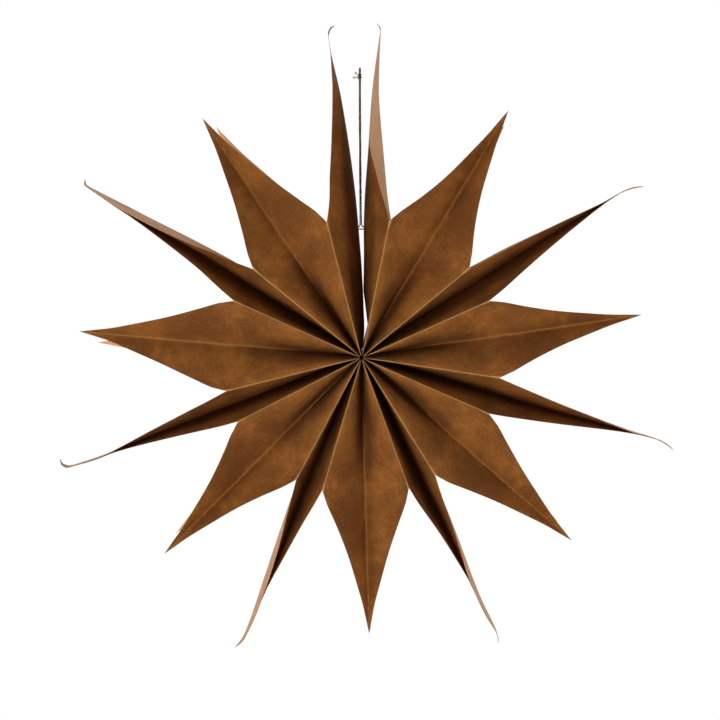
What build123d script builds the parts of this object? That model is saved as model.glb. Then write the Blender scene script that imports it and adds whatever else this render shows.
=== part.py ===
from build123d import *
from math import cos, hypot, radians, sin, tan
import os

# A hanging star of seven gusseted kraft paper bags, glued side by side along their middles and
# fanned into a ring, with a loop of twine through the two free end panels at the top.
# The inside of the twine's eye is the origin. The star faces -Y, +Z is up, sizes are millimetres.

# The flat bag
paper = 0.3  # one kraft sheet with its coat of glue
half_width = 61.0  # from the middle of a wide panel to its side fold
bottom_start = 2.0  # the stacked bag bottoms stand this far off the star's axis
bottom_end = 8.0  # the folded bottom ends here, and the bag is hollow beyond
cut_start = 92.0  # where the cut leaves the side folds, along the bag's middle
fold_length = 97.0  # the same place, along a fold
petal_tip = 201.5  # where the cut crosses the gusset crease
seam_tip = 242.0  # where the cut crosses the middle of a wide panel
shoulder = 205.0  # where a wide panel's cut edge turns towards its point
shoulder_depth = 25.0  # half the panel's width at that shoulder
glue_strip = 4.0  # half the width of the glued line down the middle of a panel
point_width = 0.5  # half the width left at every cut point
edge_gap = 0.05  # glued panels stay this far apart beside the glue

# How the fan stands open
hub_height = -208.2
hub_side = 1.2
fold_depth = 60.0  # depth of the side folds where the cut starts
crease_depths = [(0, 26), (50, 30), (92, 38), (130, 39), (202, 34)]
gusset_rise = 22.0  # how far an open gusset's edge stands in front of its crease
cut_shares = [(0, 1), (0.08, 0.95), (0.2, 0.8), (0.4, 0.54), (0.6, 0.33), (0.8, 0.13), (1, 0)]
panel_shares = (0.4, 0.72, 1)  # where a half panel bends, from its glue to its fold
gusset_shares = (0.33, 0.66, 1)  # where a half gusset bends, from its crease to its fold
tube_stations = (22, 46, cut_start)
panel_stations = (114, 132, 152, 172, 190, shoulder, 222, 233, seam_tip)

# Glued seams clockwise from the slot at the top: direction, where the front edges and the back
# edges of the two panels meet again, how far the back folds are turned, and how far the paper
# stands aside of the direction at rising distances, most of it in the curl of the tip
seams = [
    (1.3, 150, 238, 3.0, [
        (0, 0), (6, 1.8), (11, 3.6), (18, 4.4), (46, 0.4), (66, 0.25), (92, -0.4), (117, -0.2),
        (150, 1.5), (190, 3.4), (222, 6.8), (235, 8.4), (242, 5.6),
    ]),
    (58.1, 208, 213, 1.8, [(114, 0), (150, -0.5), (190, 0), (222, 0.4), (233, 2.0), (242, 5.6)]),
    (106.9, 205, 215, 3.0, [(114, 0), (150, -0.4), (190, -1.4), (226, -2.4), (233, -1.8), (242, 1.0)]),
    (154.7, 180, 200, 0.9, [(114, 0), (150, -1.1), (190, -1.3), (229, -2.0), (242, 0.6)]),
    (202.6, 188, 205, -0.6, [(114, 0), (150, 0.3), (190, 0.1), (214, -0.8), (228, -0.8), (242, 2.7)]),
    (248.2, 195, 204, -3.0, [(114, 0), (150, 0.7), (208, 0), (225, 1.1), (233, 1.8), (242, 8.0)]),
    (301.2, 207, 213, -3.0, [(114, 0), (150, 1.0), (190, 1.0), (236, 0.4), (242, 4.0)]),
    (359.0, 218, 215, 1.0, [
        (0, 0), (6, 0.8), (11, 1.9), (18, 2.45), (46, 1.95), (66, 1.2), (78, 0.4), (92, -0.5),
        (117, -2.4), (150, -6.1), (190, -12.1), (220, -18.4), (232, -20.2), (242, -16.1),
    ]),
]
# Bags clockwise: directions of the left front fold, the front crease, the right front fold and
# the back crease, and how much narrower than flat its two gusset points stand halfway up
bags = [
    (11.5, 30.9, 50.4, 32.4, 0.22),
    (65.9, 81.7, 98.4, 82.9, 0.15),
    (113.7, 131.4, 148.0, 131.2, 0.07),
    (160.0, 178.4, 196.5, 179.0, 0.1),
    (208.1, 224.8, 242.7, 225.3, 0.17),
    (256.1, 274.9, 294.1, 271.7, 0.02),
    (309.6, 326.2, 345.7, 327.0, 0.07),
]
slim_rise = 1.6  # a gusset point that stands narrower stands out further by this share of it

# Twine
twine = 1.0  # its diameter
hole_size = 4.0
hole_sides = 10
hole_length = 3.0
hole_distance = 92.0  # of the holes in the end panels from the star's axis
hole_depth = 3.2  # in front of and behind the middle of the panel
twine_sides = 6
knot_height = -6.1
knot_bottom = -8.4
knot_length = 3.9
knot_radius = 1.6
knot_sides = 8
knot_chamfer = 0.3
turn_radius = 1.95  # of the turn drawn tight round the knot, which leans
turn_lean = 20
turn_chamfer = 0.3
tail_ends = [(-6.4, -0.6, -6.5), (-3.7, -0.8, -3.0)]
twine_route = [
    (-0.45, -0.3, knot_bottom),
    (-0.45, -0.3, -24),
    (0.15, -3.3, -112),
    (0.1, -3.2, -115.1),
    (-3.2, -3.2, -116.4),
    (-5.0, 0, -116.8),
    (-3.2, 3.2, -116.3),
    (1.05, 3.2, -117.0),
    (5.7, 3.2, -116.3),
    (7.5, 0, -116.8),
    (5.7, -3.2, -116.4),
    (1.6, -3.1, -115.2),
    (1.05, -2.7, -112),
    (0.45, 0.3, -24),
    (0.45, 0.3, knot_bottom),
]
eye_route = [
    (0.15, -0.6, -5.2),
    (0.35, -1.5, -3.2),
    (0.4, -1.6, -1.2),
    (0.2, -0.8, 0.5),
    (-0.2, 0.8, 0.5),
    (-0.4, 1.6, -1.2),
    (-0.35, 1.5, -3.2),
    (-0.15, 0.6, -5.2),
]

os.makedirs("parts", exist_ok=True)


def between(table, place):
    """A size read off straight lines between the rows of a table."""
    if place <= table[0][0]:
        return table[0][1]
    for (x0, y0), (x1, y1) in zip(table, table[1:]):
        if place <= x1:
            return y0 + (y1 - y0) * (place - x0) / (x1 - x0)
    return table[-1][1]


def set_out(clock, distance, points):
    """Points across a direction of the star, x clockwise and y to the front, as vectors."""
    a = radians(clock)
    outward, aside, front = Vector(sin(a), 0, cos(a)), Vector(cos(a), 0, -sin(a)), Vector(0, -1, 0)
    centre = Vector(hub_side, 0, hub_height) + outward * distance
    return [centre + aside * x + front * y for x, y in points]


def inset(points, closed=False):
    """A run of points moved one paper thickness to its left, with mitred corners."""
    moved = []
    count = len(points)
    for i, (x, y) in enumerate(points):
        normals = []
        for a, b in ((i - 1, i), (i, i + 1)):
            if closed or (a >= 0 and b < count):
                (x0, y0), (x1, y1) = points[a % count], points[b % count]
                run = hypot(x1 - x0, y1 - y0)
                normals.append(((y0 - y1) / run, (x1 - x0) / run))
        (nx, ny), (mx, my) = normals[0], normals[-1]
        share = paper / (1 + nx * mx + ny * my)
        moved.append((x + (nx + mx) * share, y + (ny + my) * share))
    return moved


def panel_bow(share):
    """How much of its lean a panel has at a share of its depth."""
    return share * (0.35 + 0.65 * share)


def gusset_bow(share):
    """How much of its rise a gusset has at a share of its width: it is steep by the crease."""
    return share * (1.45 - 0.45 * share)


def bag_ring(bag, left_seam, right_seam, distance):
    """The closed outline of a bag across its middle, from the right glue line anticlockwise."""
    left_fold, crease, right_fold, back_crease, slim = bag
    middle = (left_seam[0] + right_seam[0]) / 2

    def across(clock, aside=0):
        turn = radians(clock - middle)
        return (distance * sin(turn) + aside) / cos(turn)

    fold_at = half_width + (fold_depth - half_width) * distance / cut_start
    crease_at = between(crease_depths, distance)
    ring = []
    for seam, fold, crease_clock, face in (
        (right_seam, right_fold, crease, 1),
        (left_seam, left_fold, crease, 1),
        (left_seam, left_fold + left_seam[3], back_crease, -1),
        (right_seam, right_fold + right_seam[3], back_crease, -1),
    ):
        reach = distance / cos(radians(seam[0] - middle))
        start = across(seam[0], between(seam[4], reach))
        end, middle_crease = across(fold), across(crease_clock)
        run = [(start, glue_strip)]
        run += [(start + (end - start) * panel_bow(s), fold_at * s) for s in panel_shares]
        for s in gusset_shares[-2::-1] + (0,):
            rise = (fold_at - crease_at) * gusset_bow(s)
            run.append((middle_crease + (end - middle_crease) * s, crease_at + rise))
        if (seam == left_seam) == (face == 1):
            run = run[-2::-1]
        ring += [(x, face * y) for x, y in run]
    return ring


def petal_rows(bag, left_seam, right_seam, face):
    """Rows across a gusset's point, from its right edge to its left at the front."""
    left_fold, crease, right_fold, back_crease, slim = bag
    middle = (left_seam[0] + right_seam[0]) / 2
    if face < 0:
        left_fold, right_fold = left_fold + left_seam[3], right_fold + right_seam[3]
        crease = back_crease
    tilt = tan(radians(crease - middle))
    widths = [tan(radians(fold - middle)) - tilt for fold in (right_fold, left_fold)]
    rows = []
    for place, share in cut_shares[1:]:
        distance = cut_start + (petal_tip - cut_start) * place
        crease_at, crease_depth = distance * tilt, between(crease_depths, distance)
        pinch = slim * 4 * place * (1 - place)
        row = []
        for width in widths:
            edge = width * cut_start * share * (1 - pinch)
            if share == 0:
                edge = point_width if width > 0 else -point_width
            reach = max(share, point_width / abs(width * cut_start))
            side = []
            for s in gusset_shares:
                rise = gusset_rise * (1 + slim_rise * pinch) * gusset_bow(reach * s)
                side.append((crease_at + edge * s, face * (crease_depth + rise)))
            row.append(side)
        points = row[0][::-1] + [(crease_at, face * crease_depth)] + row[1]
        if face < 0:
            points = points[::-1]
        rows.append((middle, distance, points))
    return rows


def panel_rows(seam, fold, side):
    """Rows across a wide panel's point. The bag is on the left of its right panel, side 1."""
    clock, front_meet, back_meet, turn, asides = seam
    rows = []
    for distance in panel_stations:
        if distance < shoulder:
            share = between(cut_shares, (distance - fold_length) / (shoulder - fold_length))
            depth = shoulder_depth + (fold_depth - shoulder_depth) * share
        else:
            left = (seam_tip - distance) / (seam_tip - shoulder)
            depth = point_width + (shoulder_depth - point_width) * left
        strip = min(glue_strip, depth / 4)
        middle = between(asides, distance)
        points = []
        for face, meet in ((-1, back_meet), (1, front_meet)):
            left = max(0, (meet - distance) / (meet - fold_length))
            lean = max(edge_gap, fold_length * sin(radians(fold)) * left)
            aside = fold_length * sin(radians(turn)) * left if face < 0 else 0
            run = [(middle, face * strip)]
            for s in panel_shares:
                bowed = (aside - side * lean) * panel_bow(s)
                run.append((middle + bowed, face * depth * s))
            points += run[::-1] if face < 0 else run
        if side < 0:
            points = points[::-1]
        rows.append((clock, distance, points))
    return rows


def facets(rows, closed=False):
    """Flat triangles between neighbouring rows of points, split along the shorter diagonal."""
    faces = []
    for near, far in zip(rows, rows[1:]):
        count = len(near)
        for i in range(count if closed else count - 1):
            a, b, c, d = near[i], near[(i + 1) % count], far[(i + 1) % count], far[i]
            if (a - c).length <= (b - d).length:
                faces += [(a, b, c), (a, c, d)]
            else:
                faces += [(a, b, d), (b, c, d)]
    return faces


def flap(first, rows):
    """The two skins and the cut edge of a flap that goes on from a part of the bag's ring."""
    outer = [first[0]] + [set_out(c, d, p) for c, d, p in rows]
    inner = [first[1]] + [set_out(c, d, inset(p)) for c, d, p in rows]
    faces = facets(outer) + facets([row[::-1] for row in inner])
    for i in (0, -1):
        edge = [[a[i], b[i]] for a, b in zip(inner, outer)]
        faces += facets(edge if i == 0 else [pair[::-1] for pair in edge])
    return faces + facets([outer[-1], inner[-1]])


def folded_bag(bag, left_seam, right_seam):
    """The solid of one bag: its folded bottom, its four walls and its four cut points."""
    middle = (left_seam[0] + right_seam[0]) / 2
    stations = (bottom_start, bottom_end) + tube_stations
    outlines = {r: bag_ring(bag, left_seam, right_seam, r) for r in stations}
    outer = [set_out(middle, r, points) for r, points in outlines.items()]
    inner = [set_out(middle, r, inset(outlines[r], True)) for r in (bottom_end,) + tube_stations]
    faces = facets(outer, True) + facets([row[::-1] for row in inner], True)
    faces += [tuple(outer[0][::-1]), tuple(inner[0])]
    left_lean, right_lean = bag[0] - left_seam[0], right_seam[0] - bag[2]
    ends = (outer[-1], inner[-1])
    fold = [len(panel_shares)]
    step = len(gusset_shares) * 2
    fold += [fold[0] + step]
    fold += [fold[1] + 2 * len(panel_shares) + 1]
    fold += [fold[2] + step]
    parts = (
        (fold[0], fold[1], petal_rows(bag, left_seam, right_seam, 1)),
        (fold[1], fold[2], panel_rows(left_seam, left_lean, -1)),
        (fold[2], fold[3], petal_rows(bag, left_seam, right_seam, -1)),
        (fold[3], fold[0] + len(outer[-1]), panel_rows(right_seam, right_lean, 1)),
    )
    for start, end, rows in parts:
        first = [[row[i % len(row)] for i in range(start, end + 1)] for row in ends]
        faces += flap(first, rows)
    return Solid(Shell([Face(Wire.make_polygon(points)) for points in faces]))


# The seven bags, the two at the slot with holes for the twine
for number, bag in enumerate(bags, 1):
    with BuildPart() as paper_bag:
        add(folded_bag(bag, seams[number - 1], seams[number]))
        for seam, end in ((seams[0], 1), (seams[-1], len(bags))):
            if number == end:
                for depth in (hole_depth, -hole_depth):
                    place = set_out(seam[0], hole_distance, [(0, depth)])[0]
                    with BuildSketch(Plane(place, z_dir=(1, 0, 0))):
                        RegularPolygon(hole_size / 2, hole_sides)
                    extrude(amount=hole_length / 2, both=True, mode=Mode.SUBTRACT)
    paper_bag.part.label = f"bag_{number}"
    export_step(paper_bag.part, f"parts/bag_{number}.step")
    print(paper_bag.part.label, paper_bag.part.is_valid, round(paper_bag.part.volume))


def bend_radii(route, share=0.45):
    """The largest arcs that a route's runs leave room for."""
    radii = []
    points = [Vector(*p) for p in route]
    for a, b, c in zip(points, points[1:], points[2:]):
        turn = (b - a).get_angle(c - b)
        radii.append(share * min((b - a).length, (c - b).length) / tan(radians(turn / 2)))
    return radii


# The twine: down one side of the slot, through both end panels and up again
with BuildPart() as hanging_twine:
    radii = bend_radii(twine_route)
    with BuildLine() as path:
        FilletPolyline(*twine_route, radius=radii)
    with BuildSketch(Plane(path.line @ 0, z_dir=path.line % 0)):
        RegularPolygon(twine / 2, twine_sides)
    sweep(transition=Transition.ROUND)
hanging_twine.part.label = "hanging_twine"
export_step(hanging_twine.part, "parts/hanging_twine.step")
length = sum(edge.length for edge in path.edges())
print("twine radii", [round(r, 1) for r in radii], "length", round(length, 1))
print("twine volume", round(hanging_twine.part.volume, 1))

# The knot that closes the loop: a turn drawn tight round the strands, the eye above it and the
# two frayed ends
lean = Vector(sin(radians(turn_lean)), 0, cos(radians(turn_lean)))
with BuildPart() as twine_knot:
    with BuildSketch(Plane((0, 0, knot_height), z_dir=lean)):
        RegularPolygon(turn_radius, knot_sides)
    extrude(amount=twine / 2, both=True)
    levels = twine_knot.edges().group_by(Axis((0, 0, knot_height), lean))
    chamfer(levels[0] + levels[-1], turn_chamfer)
    with BuildSketch(Plane.XY.offset(knot_bottom)):
        RegularPolygon(knot_radius, knot_sides)
    extrude(amount=knot_length)
    levels = twine_knot.edges().group_by(Axis.Z)
    chamfer(levels[0] + levels[-1], knot_chamfer)
    with BuildLine() as eye:
        Polyline(*eye_route)
    with BuildSketch(Plane(eye.line @ 0, z_dir=eye.line % 0)):
        RegularPolygon(twine / 2, twine_sides)
    sweep(transition=Transition.RIGHT)
    for end in tail_ends:
        start, tip = Vector(0, 0, knot_height), Vector(*end)
        with BuildSketch(Plane(start, z_dir=tip - start)):
            RegularPolygon(twine / 2, twine_sides)
        extrude(amount=(tip - start).length)
twine_knot.part.label = "twine_knot"
export_step(twine_knot.part, "parts/twine_knot.step")
print("knot", twine_knot.part.is_valid, len(twine_knot.part.solids()))
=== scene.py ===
import math
import bpy
import bmesh
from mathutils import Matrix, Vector, noise


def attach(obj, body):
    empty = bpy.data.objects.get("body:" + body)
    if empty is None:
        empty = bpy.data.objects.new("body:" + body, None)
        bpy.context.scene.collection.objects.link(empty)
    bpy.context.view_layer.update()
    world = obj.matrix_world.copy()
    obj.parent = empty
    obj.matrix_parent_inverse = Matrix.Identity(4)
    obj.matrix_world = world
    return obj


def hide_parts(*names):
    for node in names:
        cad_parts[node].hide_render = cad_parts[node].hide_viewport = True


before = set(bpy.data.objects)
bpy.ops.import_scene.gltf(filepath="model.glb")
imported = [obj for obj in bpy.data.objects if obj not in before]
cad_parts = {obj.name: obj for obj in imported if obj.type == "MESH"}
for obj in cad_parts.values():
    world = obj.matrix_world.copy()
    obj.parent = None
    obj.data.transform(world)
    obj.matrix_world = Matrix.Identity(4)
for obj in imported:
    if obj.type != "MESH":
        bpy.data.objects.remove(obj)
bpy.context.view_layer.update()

mm = 0.001

# Where the star stands in the frame, and how its sheets are cut, in millimetres
star = {
    "hubSide": 1.2,
    "hubHeight": -208.2,
    "foldDepth": (61.0, 60.0),  # of the folds in front of the middle plane, at the hub and at the notch
    "creaseDepth": [(0, 26), (50, 30), (92, 38), (130, 39), (202, 34)],
    "bottom": 1.6,  # the sheets start this far off the axis
    "notch": 97.0,  # the cut leaves the folds here
    "petalTip": 202.5,  # and crosses the creases here
    "shoulder": 205.0,  # the wide panels' cut turns a corner here, on both sides of their middle
    "shoulderDepth": 25.0,
    "seamTip": 242.0,  # and ends here, on their middle
    "cutCurve": [(0, 1), (0.13, 0.8), (0.325, 0.6), (0.54, 0.4), (0.795, 0.2), (0.95, 0.08), (1, 0)],
    "cutDepths": (60, 57, 53, 49, 45, 40, 35, 30, 25, 20, 12, 6, 0),  # of the wide panels' cut edge
    "paper": 0.14,
    "buckle": 0.5,  # how far the sheets wave
    "waveSize": (0.022, 0.014),  # waves a millimetre, across and along a sheet
    "waveApart": 7.3,  # so that no two sheets wave alike
    "rows": 108,
    "crowding": 1.4,  # of the rows towards the tips
    "merge": 0.02,  # points nearer than this are one
    "bottomNear": 2.0,  # the bottom's edges lie nearer to the axis than this
    "within": 60.0,  # a place this far out is inside its bag
}

# The seams clockwise from the slot's right side to its left, with their direction in degrees.
# meet: where the front and the back edges of the two sheets come together again
# hollow: how hollow their way there is, 1 is straight
# turn: how far clockwise the folds behind stand from those in front, in degrees
# lean: how far the blade is tipped, as a share of its depth, and leanFrom: where that starts
# hook: the curl at the very end, as its start, its radius and its hand
# more: how much further the tip reaches
# aside: the middle line's way off its direction, at distances from the hub
seams = [
    {"clock": 1.3, "meet": (150, 240), "hollow": (1, 1.32), "turn": 3.0, "lean": 0.0, "hook": (235, 6, -1),
     "aside": [(0, 0), (6, 1.8), (11, 3.6), (18, 4.4), (25, 3.5), (32, 2.5), (39, 1.5), (46, 0.45),
               (57, 0.35), (66, 0.25), (77, 0.05), (92, -0.4), (117, -0.1), (150, 1.6), (190, 3.4),
               (220, 6.6), (240, 9)]},
    {"clock": 58.6, "meet": (208, 213), "turn": 1.8, "lean": -0.035, "hook": (222, 38, 1),
     "aside": [(0, 0), (92, -0.4), (150, -1.7), (190, -1.6), (222, -1.4), (243, -1.5)]},
    {"clock": 106.9, "meet": (205, 215), "turn": 3.0, "lean": -0.035, "hook": (226, 36, 1), "more": 2,
     "aside": [(0, 0), (92, 0), (150, -0.4), (190, -1.4), (220, -2.3), (243, -2.5)]},
    {"clock": 155.0, "meet": (180, 200), "turn": 0.9, "lean": 0.03, "hook": (229, 28, 1),
     "aside": [(0, 0), (92, 0), (150, -1.9), (190, -2.3), (214, -2.2), (232, -3.4), (240, -3.6)]},
    {"clock": 202.2, "meet": (188, 215), "hollow": (1.25, 1.9), "turn": -0.6, "lean": -0.05, "leanFrom": 95,
     "hook": (228, 28, 1), "aside": [(0, 0), (92, 0.4), (150, 1.2), (190, 1.3), (214, 0.5), (240, 0.8)]},
    {"clock": 248.0, "meet": (195, 209), "hollow": (1, 1.2), "turn": -3.0, "lean": 0.035,
     "hook": (233, 6, 1), "more": 2,
     "aside": [(0, 0), (92, 0), (150, 1.2), (190, 1.2), (208, 0.7), (225, 1.9), (240, 3.2)]},
    {"clock": 300.5, "meet": (207, 213), "hollow": (1.65, 1.8), "turn": -3.0, "lean": -0.054,
     "leanFrom": 100, "hook": (236, 4, 1),
     "aside": [(0, 0), (92, 0.7), (150, 2.8), (190, 3.3), (220, 3.2), (240, 3.2)]},
    {"clock": 359.0, "meet": (218, 215), "turn": 1.0, "lean": 0.0, "hook": (232, 7, 1),
     "aside": [(0, 0), (6, 0.8), (11, 1.9), (18, 2.45), (32, 2.2), (46, 1.95), (57, 1.5), (66, 1.2),
               (78, 0.4), (92, -0.5), (117, -2.4), (150, -6.1), (190, -12.1), (220, -18.4),
               (240, -21)]},
]
# The bags clockwise: directions of their left and right front folds, and of the front and the back
# crease, and how much narrower than flat the points between the folds stand on their left and right
bags = [
    {"folds": (11.5, 50.4), "creases": (30.9, 32.4), "slim": (0.2, 0.24)},
    {"folds": (65.9, 98.4), "creases": (81.7, 82.9), "slim": (0.11, 0.2)},
    {"folds": (113.7, 148.0), "creases": (131.4, 131.2), "slim": (0.05, 0.09)},
    {"folds": (160.0, 196.5), "creases": (178.4, 179.0), "slim": (0.06, 0.15)},
    {"folds": (208.1, 242.7), "creases": (224.8, 225.3), "slim": (0.2, 0.15)},
    {"folds": (256.1, 294.1), "creases": (274.9, 271.7), "slim": (-0.02, 0.05)},
    {"folds": (309.3, 345.7), "creases": (326.2, 327.0), "slim": (0.1, 0.04)},
]


def clamp(value, low=0.0, high=1.0):
    return max(low, min(high, value))


def ease(value):
    t = clamp(value)
    return t * t * (3 - 2 * t)


def smooth(table, place):
    # a curve through a table's rows, straight on past the last
    last = len(table) - 1
    i = 0
    while i < last - 1 and place > table[i + 1][0]:
        i += 1

    def slope(k):
        a, b = table[max(k - 1, 0)], table[min(k + 1, last)]
        return (b[1] - a[1]) / (b[0] - a[0])

    (x0, y0), (x1, y1) = table[i], table[i + 1]
    run = x1 - x0
    t = (place - x0) / run
    if t > 1:
        return y1 + (place - x1) * slope(last)
    m0, m1 = slope(i) * run, slope(i + 1) * run
    return (
        y0 * (2 * t ** 3 - 3 * t ** 2 + 1) + m0 * (t ** 3 - 2 * t ** 2 + t)
        + y1 * (3 * t ** 2 - 2 * t ** 3) + m1 * (t ** 3 - t ** 2)
    )


def starPoint(clock, out, aside, depth):
    a = math.radians(clock)
    x = star["hubSide"] + out * math.sin(a) + aside * math.cos(a)
    z = star["hubHeight"] + out * math.cos(a) - aside * math.sin(a)
    return Vector((x, -depth, z)) * mm


def foldDepth(h):
    hub, notch = star["foldDepth"]
    return hub + (notch - hub) * min(h / star["notch"], 1)


def gussetCut(share):
    return star["notch"] + (star["petalTip"] - star["notch"]) * smooth(star["cutCurve"], share)


def panelCut(depth, more=0):
    # how high the sheet of a wide panel reaches at a depth from its middle line
    full = star["foldDepth"][1] - star["shoulderDepth"]
    if depth >= star["shoulderDepth"]:
        place = smooth(star["cutCurve"], (depth - star["shoulderDepth"]) / full)
        return star["notch"] + (star["shoulder"] - star["notch"]) * place
    left = 1 - depth / star["shoulderDepth"]
    return star["shoulder"] + (star["seamTip"] + more - star["shoulder"]) * left


edgeTable = [(panelCut(depth), depth) for depth in star["cutDepths"]]


def middleLine(seam, h):
    # distance, aside and heading of a seam's middle line, where h millimetres of it are used up
    start, radius, hand = seam["hook"]

    def heading(at):
        return math.atan2(smooth(seam["aside"], at + 1) - smooth(seam["aside"], at - 1), 2)

    if h <= start:
        return h, smooth(seam["aside"], h), heading(h)
    a = heading(start)
    turn = (h - start) / radius
    along, across = radius * math.sin(turn), hand * radius * (1 - math.cos(turn))
    out = start + along * math.cos(a) - across * math.sin(a)
    return out, smooth(seam["aside"], start) + along * math.sin(a) + across * math.cos(a), a + hand * turn


def hump(t):
    return 4 * t * (1 - t)


def grown(least, whole, h):
    # from its least share at the hub to all of it
    return least + (1 - least) * ease(h / whole)


def waves(seed, across, h, share):
    # the slow waves of a sheet, none along its folds and its glue
    wide, tall = star["waveSize"]
    at = Vector((across * wide, h * tall, seed * star["waveApart"]))
    return star["buckle"] * noise.noise(at) * hump(share)


# How a wide panel swings out of its glue, and closes on its neighbour again past the notch
widePanel = {
    "glueStrip": 4.0,
    "pressed": 0.04,  # the glued strips into each other
    "gap": 0.08,  # between two cut edges that stand face to face
    "gapOver": 20.0,  # past the notch, the way over which it opens
    "bow": (0.35, 0.65),  # how straight and how hollow the panel swings out
    "meetSoft": 0.04,  # how softly two panels meet, as a share of their way
    "holdOver": 35.0,  # past the notch, the way over which the folds stop being straight
    "leanFrom": 130.0,
    "leanOver": 80.0,
    "ownWaves": (0.3, 60.0),  # their share at the hub, and where they are whole
    "wavesClose": 1.4,  # they fade once the panels stand nearer than one part in this many
    "jointWaves": (110.0, 60.0),  # where two glued panels start to wave as one, and over what way
    "foldHighlightSide": 1.7,  # how much narrower the worn fold line with its painted highlight is here than on the gusset
    "noCrease": 99.0,  # a panel's distance from a crease, so that it shows no worn line and painted highlight of one
    "columns": 22,
}


def bowed(t):
    straight, hollow = widePanel["bow"]
    return t * (straight + hollow * t)


def panelPoint(seam, fold, side, front, depth, h, seed):
    # a wide panel from its glued middle to its fold, h up the sheet;
    # side is 1 on a bag's right panel, which lies anticlockwise of its seam
    full = star["foldDepth"][1]
    notch = star["notch"]
    glue = widePanel["glueStrip"]
    facing = 1 if front else -1
    swing = math.sin(math.radians(fold - seam["clock"]))
    meet, hollow = (pair[0 if front else 1] for pair in (seam["meet"], seam.get("hollow", (1, 1))))
    parted = 1.0  # how far two panels stand apart, as a share of their way at the notch
    if h > notch:
        left = (meet - h) / (meet - notch)
        parted = (0.5 * (left + math.sqrt(left * left + widePanel["meetSoft"] ** 2))) ** hollow
    edge = full if h <= notch else max(smooth(edgeTable, h), 1)
    strip = min(glue, edge / 4)
    share = clamp(depth / edge)
    bow = bowed(clamp((depth - strip) / (edge - strip)))
    foot = bowed(clamp((depth - glue) / (full - glue)))
    across = min(h, notch) * swing * parted * bow
    if h <= notch:
        drop = h - math.sqrt(h * h - across * across)
    else:
        drop = notch - math.sqrt(notch ** 2 - (notch * swing * foot) ** 2)
    out, aside, heading = middleLine(seam, h)
    hold = bow * (1 - ease((h - notch) / widePanel["holdOver"]))  # the folds keep their straight way
    aside *= 1 - hold
    lean = seam["lean"] * ease((h - seam.get("leanFrom", widePanel["leanFrom"])) / widePanel["leanOver"])
    gap = widePanel["gap"] * ease((h - notch) / widePanel["gapOver"])
    apart = gap * bow - widePanel["pressed"] * (1 - bow)
    across += lean * depth * facing - side * apart / 2
    own = side * waves(seed, depth * facing, h, share) * grown(*widePanel["ownWaves"], h)
    jointFrom, jointOver = widePanel["jointWaves"]
    joint = waves(seam["clock"], depth * facing, h, share) * ease((h - jointFrom) / jointOver)
    across += own * min(parted * widePanel["wavesClose"], 1) + joint
    return starPoint(
        seam["clock"],
        out - drop * math.cos(heading) - across * math.sin(heading) * (1 - hold),
        aside + across,
        foldDepth(h) / full * depth * facing,
    )


# How a gusset half spreads from its crease to its fold, and bulges once it is cut
gusset = {
    "flat": 35.0,
    "creaseSoft": 0.1,  # how softly it stops spreading past the notch, at the crease and at the fold
    "foldSoft": 0.001,
    "atFold": 0.999,  # shares past this are the fold itself
    "power": (2.5, 1.05),  # of its round section, at the hub and what it loses outwards
    "powerWay": (15.0, 75.0),  # where it starts to lose it, and over what way
    "pinchRise": 1.6,  # how much deeper it gets where it is narrower than flat
    "waves": (0.2, 80.0),  # their share at the hub, and where they are whole
    "petalWaves": 1.3,  # how much larger they are past the notch
    "columns": 16,
    "seedFrom": 40,  # past the seeds of the panels' waves
}


def gussetPoint(crease, fold, slim, front, share, h, seed):
    # half a gusset from its crease, at share 0, to its fold, at share 1
    notch = star["notch"]
    swing = math.sin(math.radians(fold - crease))
    soft = gusset["creaseSoft"] * (1 - share) + gusset["foldSoft"]
    ratio = h / notch
    spread = 0.5 * (ratio + 1 - math.sqrt((ratio - 1) ** 2 + soft ** 2))
    if h <= notch and share > gusset["atFold"]:
        spread = ratio
    pinch = slim * hump(clamp((h - notch) / (star["petalTip"] - notch)))
    across = share * notch * swing * spread * (1 - pinch)
    flat = share * notch * swing * min(ratio, 1)
    reach = min(h, notch)
    drop = reach - math.sqrt(reach ** 2 - flat ** 2)
    rise = (foldDepth(reach) - smooth(star["creaseDepth"], reach)) * (1 + gusset["pinchRise"] * pinch)
    most, lost = gusset["power"]
    lostFrom, lostOver = gusset["powerWay"]
    power = most - lost * ease((h - lostFrom) / lostOver)
    deep = smooth(star["creaseDepth"], h) + rise * (1 - (1 - share) ** power)
    wave = waves(seed, share * gusset["flat"], h, share) * grown(*gusset["waves"], h)
    deep += wave * (gusset["petalWaves"] if h > notch else 1)
    return starPoint(crease, h - drop, across, deep if front else -deep)


# The holes that the twine goes through in the two end panels; column is the grid's line under them
hole = {"deep": 3.2, "high": 91.9, "radius": 1.9, "column": 2}
markNames = ("foldNear", "creaseNear")  # how far a point of the paper is from its fold and its crease


def rowAt(y):
    return 1 - (1 - y) ** star["crowding"]


def pierce(places, columns):
    # draws eight corners of the flat grid in to a round hole and gives the corner in their middle
    rows = star["rows"]
    tall = panelCut(hole["deep"]) - star["bottom"]
    high = (hole["high"] - star["bottom"]) / tall
    row = round((1 - (1 - high) ** (1 / star["crowding"])) * rows)
    for vert in places:
        across = round((vert.co.x + 0.5) * columns) - hole["column"]
        up = round((vert.co.y + 0.5) * rows) - row
        if max(abs(across), abs(up)) > 1:
            continue
        if across == 0 and up == 0:
            middle = vert
            continue
        turn = math.atan2(up, across)
        places[vert] = (
            (hole["deep"] + hole["radius"] * math.cos(turn)) / star["foldDepth"][1],
            high + hole["radius"] * math.sin(turn) / tall,
        )
    return middle


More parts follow.
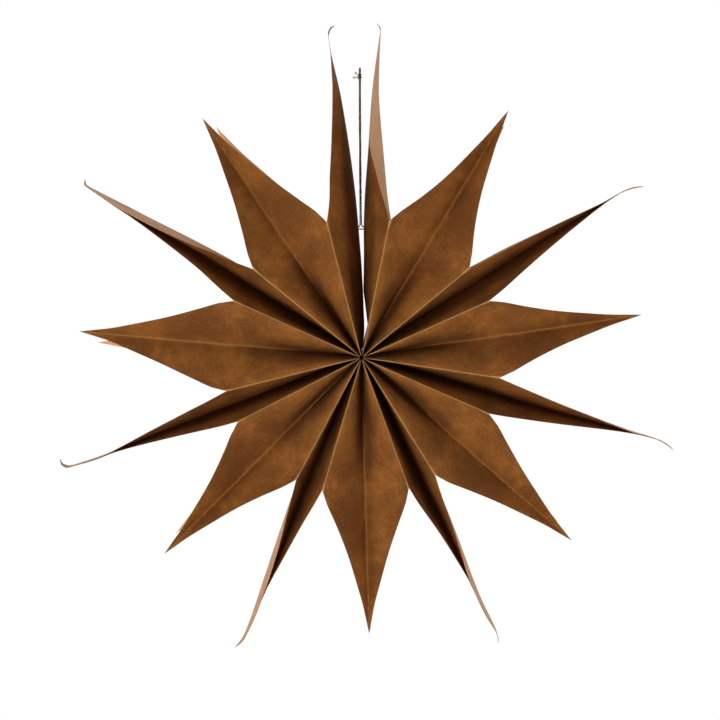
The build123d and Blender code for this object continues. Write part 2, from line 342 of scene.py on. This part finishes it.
def sheetGrid(bm, columns, place, pierced=False):
    # a grid of paper laid out flat, then folded into place, with its flat coordinates kept
    uv = bm.loops.layers.uv["UVMap"]
    marks = [bm.verts.layers.float[name] for name in markNames]
    made = bmesh.ops.create_grid(bm, x_segments=columns, y_segments=star["rows"], size=0.5)["verts"]
    places = {vert: (vert.co.x + 0.5, rowAt(vert.co.y + 0.5)) for vert in made}
    if pierced:
        middle = pierce(places, columns)
    flat = {}
    for vert in made:
        vert.co, flat[vert], near = place(*places[vert])
        for mark, value in zip(marks, near):
            vert[mark] = value
    for face in {f for vert in made for f in vert.link_faces}:
        face.smooth = True
        for loop in face.loops:
            loop[uv].uv = flat[loop.vert]
    if pierced:
        bmesh.ops.delete(bm, geom=[middle], context="VERTS")


def addPiece(name, bm, materials):
    mesh = bpy.data.meshes.new(name)
    bm.to_mesh(mesh)
    bm.free()
    for material in materials:
        mesh.materials.append(material)
    piece = bpy.data.objects.new(name, mesh)
    bpy.context.scene.collection.objects.link(piece)
    return piece


def closeBottom(bm):
    # the pasted bottom, a strip between the first rows of the two panels
    near = star["bottomNear"] * mm
    hub = starPoint(0, 0, 0, 0)
    rim = [
        edge for edge in bm.edges
        if edge.is_boundary
        and all(math.hypot(v.co.x - hub.x, v.co.z - hub.z) < near for v in edge.verts)
    ]
    bmesh.ops.holes_fill(bm, edges=rim, sides=0)


def facesInwards(bm, centre):
    # the faces around a bag's narrow part say which way its paper points
    total = 0.0
    for face in bm.faces:
        away = face.calc_center_median() - centre
        if away.length < star["within"] * mm:
            total += face.normal.dot(away) * face.calc_area()
    return total < 0


def buildBag(number, materials):
    bag = bags[number]
    leftSeam, rightSeam = seams[number], seams[number + 1]
    bm = bmesh.new()
    bm.loops.layers.uv.new("UVMap")
    for name in markNames:
        bm.verts.layers.float.new(name)
    bottom = star["bottom"]
    full = star["foldDepth"][1]
    half = gusset["flat"]
    for front in (True, False):
        for side, seam in ((1, rightSeam), (-1, leftSeam)):
            hand = 1 if side == 1 else 0
            fold = bag["folds"][hand] + (0 if front else seam["turn"])
            crease = bag["creases"][0 if front else 1]
            start = (0 if side == 1 else 4 * full) + (0 if front else 2 * full + 4 * half)  # on the flat
            seed = number * 4 + side

            def onPanel(x, y):
                depth = full * x
                h = bottom + (panelCut(depth, seam.get("more", 0)) - bottom) * y
                point = panelPoint(seam, fold, side, front, depth, h, seed)
                near = (widePanel["foldHighlightSide"] * (full - depth), widePanel["noCrease"])
                return point, ((start + side * depth) * mm, h * mm), near

            def onGusset(x, y):
                h = bottom + (gussetCut(x) - bottom) * y
                own = seed + gusset["seedFrom"]
                point = gussetPoint(crease, fold, bag["slim"][hand], front, x, h, own)
                around = start + side * (full + half * (1 - x))
                wide = min(h, star["notch"]) * abs(math.sin(math.radians(fold - crease)))
                return point, (around * mm, h * mm), (wide * (1 - x), half * x)

            atSlot = (number, side) in ((0, -1), (len(bags) - 1, 1))
            sheetGrid(bm, widePanel["columns"], onPanel, atSlot)
            sheetGrid(bm, gusset["columns"], onGusset)
    bmesh.ops.remove_doubles(bm, verts=bm.verts, dist=star["merge"] * mm)
    closeBottom(bm)
    bmesh.ops.recalc_face_normals(bm, faces=bm.faces)
    middle = (leftSeam["clock"] + rightSeam["clock"]) / 2
    if facesInwards(bm, starPoint(middle, star["within"], 0, 0)):
        bmesh.ops.reverse_faces(bm, faces=bm.faces)
    bagPiece = addPiece(f"foldedBag{number + 1}", bm, materials)
    wall = bagPiece.modifiers.new("paper", "SOLIDIFY")
    wall.thickness = star["paper"] * mm
    wall.offset = -1
    wall.use_even_offset = False
    wall.material_offset = 1
    wall.material_offset_rim = 2
    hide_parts(f"bag_{number + 1}")
    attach(bagPiece, "root")


# The kraft paper. A noise has its scale, its detail and its roughness. A spread has the noise's low and
# high end, and how much of the second colour shows at each
kraft = {
    "outside": (0.240, 0.086, 0.015),
    "outsideDark": (0.102, 0.034, 0.006),
    "inside": (0.72, 0.43, 0.25),
    "insideDark": 0.82,  # of the inside's colour
    "cutDark": 0.7,  # the same on the cut edges
    "grainAndFoldHighlight": (0.40, 0.225, 0.08),  # in the grain, and along folds and creases, where it is worn paper with a painted highlight of light catching the folds
    "behind": (0.70, 0.36, 0.15),  # where light shines through, and the share of it that does
    "through": 0.16,
    "roughness": 0.85,
    "gloss": 0.12,
    "cloud": (30, 5, 0.62),
    "cloudSpread": (0.33, 0.64),
    "mottle": (210, 4, 0.65),
    "mottleSpread": (0.38, 0.66, 0.5, 0.0),
    "grain": (760, 3, 0.6),
    "grainSpread": (0.5, 0.72, 0.0, 0.3),
    "fibre": (1500, 2, 0.6),
    "fibreLong": (1, 0.28, 1),
    "fibreSpread": (0.6, 0.8, 0.0, 0.3),
    "lines": {"foldNear": (0.08, 0.72, 0.9, 0.0), "creaseNear": (0.08, 0.36, 0.5, 0.0)},  # worn lines with a painted highlight along folds and creases, in millimetres
    "bump": 0.25,
    "bumpHigh": 0.12,
}


def joinMaths(tree, operation, first, second):
    node = tree.nodes.new("ShaderNodeMath")
    node.operation = operation
    tree.links.new(first, node.inputs[0])
    tree.links.new(second, node.inputs[1])
    return node.outputs[0]


def mixColour(tree, factor, first, second):
    node = tree.nodes.new("ShaderNodeMix")
    node.data_type = "RGBA"
    tree.links.new(factor, node.inputs[0])
    for socket, value in ((node.inputs[6], first), (node.inputs[7], second)):  # its colour sockets
        if isinstance(value, bpy.types.NodeSocket):
            tree.links.new(value, socket)
        else:
            socket.default_value = (*value, 1)
    return node.outputs[2]


def mixShaders(tree, first, second, output):
    mix = tree.nodes.new("ShaderNodeMixShader")
    tree.links.new(first.outputs[0], mix.inputs[1])
    tree.links.new(second.outputs[0], mix.inputs[2])
    tree.links.new(mix.outputs[0], output.inputs["Surface"])
    return mix.inputs[0]


def addBump(tree, height, strength, high, shader):
    bump = tree.nodes.new("ShaderNodeBump")
    bump.inputs["Strength"].default_value = strength
    bump.inputs["Distance"].default_value = high * mm
    tree.links.new(height, bump.inputs["Height"])
    tree.links.new(bump.outputs[0], shader.inputs["Normal"])


def ramp(tree, source, low, high, outLow=0.0, outHigh=1.0):
    node = tree.nodes.new("ShaderNodeMapRange")
    node.interpolation_type = "SMOOTHSTEP"
    tree.links.new(source, node.inputs[0])
    for i, value in enumerate((low, high, outLow, outHigh)):
        node.inputs[i + 1].default_value = value
    return node.outputs[0]


def noiseOn(tree, vector, scale, detail, roughness):
    node = tree.nodes.new("ShaderNodeTexNoise")
    node.inputs["Scale"].default_value = scale
    node.inputs["Detail"].default_value = detail
    node.inputs["Roughness"].default_value = roughness
    tree.links.new(vector, node.inputs["Vector"])
    return node.outputs["Fac"]


def stretched(tree, source, scale):
    node = tree.nodes.new("ShaderNodeMapping")
    node.inputs["Scale"].default_value = scale
    tree.links.new(source, node.inputs["Vector"])
    return node.outputs[0]


def paperMaterial(name, base, dark, marks=True):
    material = bpy.data.materials.new(name)
    material.use_nodes = True
    tree = material.node_tree
    tree.nodes.clear()
    output = tree.nodes.new("ShaderNodeOutputMaterial")
    shader = tree.nodes.new("ShaderNodeBsdfPrincipled")
    shader.inputs["Roughness"].default_value = kraft["roughness"]
    shader.inputs["Specular IOR Level"].default_value = kraft["gloss"]
    uv = tree.nodes.new("ShaderNodeUVMap")
    uv.uv_map = "UVMap"
    sheet = uv.outputs[0]
    cloudy = noiseOn(tree, sheet, *kraft["cloud"])
    mottle = noiseOn(tree, sheet, *kraft["mottle"])
    grain = noiseOn(tree, sheet, *kraft["grain"])
    fibre = noiseOn(tree, stretched(tree, sheet, kraft["fibreLong"]), *kraft["fibre"])
    colour = mixColour(tree, ramp(tree, cloudy, *kraft["cloudSpread"]), dark, base)
    colour = mixColour(tree, ramp(tree, mottle, *kraft["mottleSpread"]), colour, dark)
    colour = mixColour(tree, ramp(tree, grain, *kraft["grainSpread"]), colour, kraft["grainAndFoldHighlight"])
    colour = mixColour(tree, ramp(tree, fibre, *kraft["fibreSpread"]), colour, kraft["grainAndFoldHighlight"])
    # painted highlight, with some real wear, along the folds and creases
    if marks:
        for mark in markNames:
            near = tree.nodes.new("ShaderNodeAttribute")
            near.attribute_name = mark
            line = ramp(tree, near.outputs["Fac"], *kraft["lines"][mark])
            colour = mixColour(tree, line, colour, kraft["grainAndFoldHighlight"])
    tree.links.new(colour, shader.inputs["Base Color"])
    addBump(tree, joinMaths(tree, "ADD", fibre, mottle), kraft["bump"], kraft["bumpHigh"], shader)
    through = tree.nodes.new("ShaderNodeBsdfTranslucent")
    through.inputs["Color"].default_value = (*kraft["behind"], 1)
    mixShaders(tree, shader, through, output).default_value = kraft["through"]
    return material


def darker(colour, share):
    return tuple(part * share for part in colour)


insideDark = darker(kraft["inside"], kraft["insideDark"])
cutEdge = darker(kraft["inside"], kraft["cutDark"])
outsideKraft = paperMaterial("outsideKraft", kraft["outside"], kraft["outsideDark"])
insideKraft = paperMaterial("insideKraft", kraft["inside"], insideDark, marks=False)
cutKraft = paperMaterial("cutKraft", cutEdge, kraft["outside"], marks=False)
print("paper materials ready")

for number in range(len(bags)):
    buildBag(number, (outsideKraft, insideKraft, cutKraft))
print("seven bags folded")


# The twine that the star hangs by, in millimetres. Its way goes from the knot down the slot, through the
# two end panels and back
twine = {
    "thick": 1.0,
    "length": 242.7,
    "strand": 0.36,  # radius of one of its two strands
    "apart": 0.17,  # of each strand from the twine's middle
    "turn": 3.1,  # of the strands, once round each other
    "start": (1, 0.3, 0.2),  # the side that the first strand starts on
    "uneven": 0.12,  # share by which a strand's thickness varies, and the scale of that noise
    "unevenSize": 900,
    "step": 0.28,
    "fineness": 24,  # of the curve that the strands follow
    "merge": 0.001,  # points nearer than this are one
    "dark": (0.075, 0.043, 0.019),
    "light": (0.23, 0.15, 0.07),
    "straw": (0.52, 0.41, 0.22),
    "strawDark": 0.8,  # of the straw's colour
    "roughness": 0.9,
    "gloss": 0.05,
    "coarse": (420, 3, 0.6),
    "coarseSpread": (0.4, 0.75),
    "hairs": (5200, 2, 0.6),
    "hairsLong": (1, 1, 0.25),
    "hairsSpread": (0.5, 0.8, 0.0, 0.6),
    "bump": 0.5,
    "bumpHigh": 0.1,
    "way": [
        (-0.4, -0.3, -8.4), (-0.4, -0.3, -24), (0.2, -3.3, -112), (0.1, -3.2, -115.1),
        (-3.2, -3.2, -116.4), (-5.0, 0, -116.8), (-3.2, 3.2, -116.3), (1.05, 3.2, -117.0),
        (5.7, 3.2, -116.3), (7.5, 0, -116.8), (5.7, -3.2, -116.4), (1.6, -3.1, -115.2),
        (0.95, -2.7, -112), (0.4, 0.3, -24), (0.4, 0.3, -8.4),
    ],
    "eye": [  # over the knot
        (0.15, -0.6, -6.2), (0.35, -1.5, -3.2), (0.4, -1.6, -1.2), (0.2, -0.8, 0.35), (-0.2, 0.8, 0.35),
        (-0.4, 1.6, -1.2), (-0.35, 1.5, -3.2), (-0.15, 0.6, -6.2),
    ],
    "knot": [  # the turns round both legs
        (0.3, 0.2, -8.6), (0.9, -0.7, -8.0), (-0.2, -1.15, -7.7), (-1.1, -0.2, -7.3), (-0.5, 1.0, -6.9),
        (0.8, 0.8, -6.6), (1.05, -0.5, -6.2), (-0.1, -1.2, -5.9), (-1.1, -0.3, -5.5), (-0.5, 0.95, -5.2),
        (0.7, 0.8, -4.9), (0.95, -0.4, -4.7), (0.0, -0.9, -4.4), (-0.5, -0.2, -4.3),
    ],
    "over": [  # and the last one, down over them
        (0.6, 0.3, -4.2), (0.9, -0.8, -4.6), (0.3, -1.35, -5.8), (-0.6, -1.2, -7.2), (-0.9, -0.2, -8.3),
    ],
    "tails": [
        [(-0.3, -0.9, -6.8), (-1.6, -1.2, -6.5), (-3.0, -1.0, -6.2), (-4.2, -0.8, -6.6)],
        [(-0.2, -0.6, -5.2), (-1.3, -1.0, -4.7), (-2.2, -0.9, -4.0), (-2.8, -0.8, -3.4)],
    ],
    "tailSeeds": (1.3, 5.7),
    "fibres": 20,  # in each frayed tail
    "fibre": 0.12,
    "fibreTaper": 0.6,
    "fibreSteps": 8,
    "fibreStart": 0.3,  # how far apart they start
    "fan": 2.6,  # how far they spread
    "fray": 1.395,  # how far they reach past the strands
    "frayShare": (0.65, 0.55),  # the least share of it for a fibre, and how much more its noise adds
    "frayNoise": (3.1, 2.2),  # a noise's rate and start
    "fanNoise": ((1.7, 0.3), (2.3, 5.1), (1.1, 9.7)),  # the same for each direction
}


def splinePoints(way, step):
    # a smooth curve through the given points, read back as places a step apart
    data = bpy.data.curves.new("way", "CURVE")
    data.dimensions = "3D"
    data.resolution_u = twine["fineness"]
    spline = data.splines.new("NURBS")
    spline.points.add(len(way) - 1)
    for point, place in zip(spline.points, way):
        point.co = (*(Vector(place) * mm), 1)
    spline.order_u = 3
    spline.use_endpoint_u = True
    holder = bpy.data.objects.new("way", data)
    line = bpy.data.meshes.new_from_object(holder)
    fine = [vert.co.copy() for vert in line.vertices]
    bpy.data.meshes.remove(line)
    bpy.data.objects.remove(holder)
    places = [fine[0]]
    run = 0.0
    for before, after in zip(fine, fine[1:]):
        run += (after - before).length
        if run >= step * mm:
            places.append(after)
            run = 0.0
    return places


def addTube(bm, places, radii, material=0, roundness=2):
    # a round tube along the places, as thick as the radii there
    data = bpy.data.curves.new("tube", "CURVE")
    data.dimensions = "3D"
    data.bevel_depth = mm
    data.bevel_resolution = roundness
    data.use_fill_caps = True
    spline = data.splines.new("POLY")
    spline.points.add(len(places) - 1)
    for point, place, radius in zip(spline.points, places, radii):
        point.co = (*place, 1)
        point.radius = radius
    holder = bpy.data.objects.new("tube", data)
    tube = bpy.data.meshes.new_from_object(holder)
    before = len(bm.faces)
    bm.from_mesh(tube)
    bm.faces.ensure_lookup_table()
    for face in bm.faces[before:]:
        face.smooth = True
        face.material_index = material
    bpy.data.meshes.remove(tube)
    bpy.data.objects.remove(holder)


def layStrands(bm, places):
    # two strands turned round each other along the places
    normal = Vector(twine["start"])
    ways = ([], [])
    gone = 0.0
    for i, place in enumerate(places):
        along = (places[min(i + 1, len(places) - 1)] - places[max(i - 1, 0)]).normalized()
        normal = (normal - along * normal.dot(along)).normalized()
        gone += (place - places[i - 1]).length if i else 0.0
        turn = 2 * math.pi * gone / (twine["turn"] * mm)
        out = normal * math.cos(turn) + along.cross(normal) * math.sin(turn)
        for way, side in zip(ways, (1, -1)):
            way.append(place + out * (side * twine["apart"] * mm))
    for way in ways:
        uneven = [twine["uneven"] * noise.noise(place * twine["unevenSize"]) for place in way]
        addTube(bm, way, [twine["strand"] * (1 + more) for more in uneven])


def finishTwine(name, bm, node, materials):
    bmesh.ops.remove_doubles(bm, verts=bm.verts, dist=twine["merge"] * mm)
    bmesh.ops.recalc_face_normals(bm, faces=bm.faces)
    piece = addPiece(name, bm, materials)
    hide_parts(node)
    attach(piece, "root")
    return piece


def frayTail(bm, tail, seed):
    # the strands run out into loose straw-coloured fibres
    places = splinePoints(tail, twine["step"])
    middle = len(places) // 2
    layStrands(bm, places[: middle + 1])
    end = places[-1]
    along = (end - places[middle]).normalized()
    steps = twine["fibreSteps"]
    least, more = twine["frayShare"]
    rate, shift = twine["frayNoise"]
    for i in range(twine["fibres"]):
        spread = Vector([noise.noise((seed, i * pace, begin)) for pace, begin in twine["fanNoise"]])
        spread -= along * spread.dot(along)
        start = places[middle - 1] + spread * twine["fibreStart"] * mm
        reach = twine["fray"] * (least + more * abs(noise.noise((seed, i * rate, shift))))
        fibre = []
        radii = []
        for k in range(steps + 1):
            t = k / steps
            bend = t * t * mm
            place = start.lerp(end, t) + spread * (twine["fan"] * bend)
            fibre.append(place + along * (reach * bend))
            radii.append(twine["fibre"] * (1 - twine["fibreTaper"] * t))
        addTube(bm, fibre, radii, material=1, roundness=1)


def twineMaterial(name, dark, light):
    material = bpy.data.materials.new(name)
    material.use_nodes = True
    tree = material.node_tree
    shader = tree.nodes["Principled BSDF"]
    shader.inputs["Roughness"].default_value = twine["roughness"]
    shader.inputs["Specular IOR Level"].default_value = twine["gloss"]
    place = tree.nodes.new("ShaderNodeTexCoord").outputs["Object"]
    coarse = noiseOn(tree, place, *twine["coarse"])
    hairs = noiseOn(tree, stretched(tree, place, twine["hairsLong"]), *twine["hairs"])
    colour = mixColour(tree, ramp(tree, coarse, *twine["coarseSpread"]), dark, light)
    colour = mixColour(tree, ramp(tree, hairs, *twine["hairsSpread"]), colour, light)
    tree.links.new(colour, shader.inputs["Base Color"])
    addBump(tree, hairs, twine["bump"], twine["bumpHigh"], shader)
    return material


darkTwine = twineMaterial("darkTwine", twine["dark"], twine["light"])
strawFibre = twineMaterial("strawFibre", twine["straw"], darker(twine["straw"], twine["strawDark"]))

strands = bmesh.new()
centreLine = splinePoints(twine["way"], twine["step"])
layStrands(strands, centreLine)
hangingLoop = finishTwine("twistedTwine", strands, "hanging_twine", [darkTwine])

knot = bmesh.new()
for way in ("eye", "knot", "over"):
    layStrands(knot, splinePoints(twine[way], twine["step"]))
for seed, tail in zip(twine["tailSeeds"], twine["tails"]):
    frayTail(knot, tail, seed)
tiedKnot = finishTwine("tiedKnot", knot, "twine_knot", [darkTwine, strawFibre])

print("twine laid and tied")


# The studio: a pale floor far below, and a room that is white to the eye but lights the paper softly
stage = {
    "floor": -1250.0,
    "size": 8000.0,
    "pale": (0.86, 0.86, 0.86),
    "surround": 0.56,
}
# Soft round lamps: their place, their size in metres, their power and their colour
lamps = {
    "key": ((-0.8, -2.2, -0.9), 0.9, 38, (1, 0.98, 0.95)),
    "left": ((-2.0, -1.3, 0.1), 0.9, 14, (1, 1, 1)),
    "right": ((2.0, -1.4, 0.2), 0.9, 15, (1, 1, 1)),
    "behind": ((0.4, 2.4, 0.3), 1.2, 12, (1, 1, 1)),
}


def whiteToTheEye(tree, lit, white, output):
    # lit for the light that falls on things, white for what the camera, gloss and glass see
    path = tree.nodes.new("ShaderNodeLightPath")
    seen = path.outputs["Is Camera Ray"]
    for ray in ("Is Glossy Ray", "Is Transmission Ray"):
        seen = joinMaths(tree, "MAXIMUM", seen, path.outputs[ray])
    tree.links.new(seen, mixShaders(tree, lit, white, output))


def makeFloor():
    material = bpy.data.materials.new("paleStage")
    material.use_nodes = True
    tree = material.node_tree
    tree.nodes.clear()
    output = tree.nodes.new("ShaderNodeOutputMaterial")
    pale = tree.nodes.new("ShaderNodeBsdfDiffuse")
    pale.inputs[0].default_value = (*stage["pale"], 1)
    white = tree.nodes.new("ShaderNodeEmission")
    white.inputs["Strength"].default_value = 1
    whiteToTheEye(tree, pale, white, output)
    bm = bmesh.new()
    bmesh.ops.create_grid(bm, x_segments=1, y_segments=1, size=stage["size"] / 2 * mm)
    bmesh.ops.translate(bm, verts=bm.verts, vec=(0, 0, stage["floor"] * mm))
    addPiece("floor", bm, [material])


def makeWorld():
    world = bpy.data.worlds.new("studio")
    bpy.context.scene.world = world
    world.use_nodes = True
    tree = world.node_tree
    tree.nodes.clear()
    output = tree.nodes.new("ShaderNodeOutputWorld")
    rooms = []
    for strength in (stage["surround"], 1):
        room = tree.nodes.new("ShaderNodeBackground")
        room.inputs["Strength"].default_value = strength
        room.inputs["Color"].default_value = (1, 1, 1, 1)
        rooms.append(room)
    whiteToTheEye(tree, *rooms, output)


def addLamp(name, place, size, power, colour):
    data = bpy.data.lights.new(name, "AREA")
    data.shape = "DISK"
    data.size = size
    data.energy = power
    data.color = colour
    lamp = bpy.data.objects.new(name, data)
    lamp.location = place
    aim = starPoint(0, 0, 0, 0) - Vector(place)
    lamp.rotation_euler = aim.to_track_quat("-Z", "Y").to_euler()
    bpy.context.scene.collection.objects.link(lamp)


makeFloor()
makeWorld()
for name, values in lamps.items():
    addLamp(name, *values)


# The photograph's view: the camera stands off the star's middle, beside and above its line of sight
view = {
    "distance": 962.8,
    "elevation": 3.63,
    "beside": -1.09,
    "above": -5.36,
    "lens": 64.93,
    "sensor": 36.0,
}


def makeCamera():
    lift = math.radians(view["elevation"])
    back = Vector((0, -math.cos(lift), math.sin(lift)))
    above = Vector((0, math.sin(lift), math.cos(lift)))
    data = bpy.data.cameras.new("camera")
    data.lens = view["lens"]
    data.sensor_width = view["sensor"]
    camera = bpy.data.objects.new("camera", data)
    centre = starPoint(0, 0, 0, 0)
    camera.location = centre + (back * view["distance"] + Vector((view["beside"], 0, 0))
                                + above * view["above"]) * mm
    camera.rotation_euler = (math.pi / 2 - lift, 0, 0)
    bpy.context.scene.collection.objects.link(camera)
    bpy.context.scene.camera = camera


makeCamera()
bpy.context.scene.view_settings.view_transform = "Standard"
print("stage, lights and camera set")
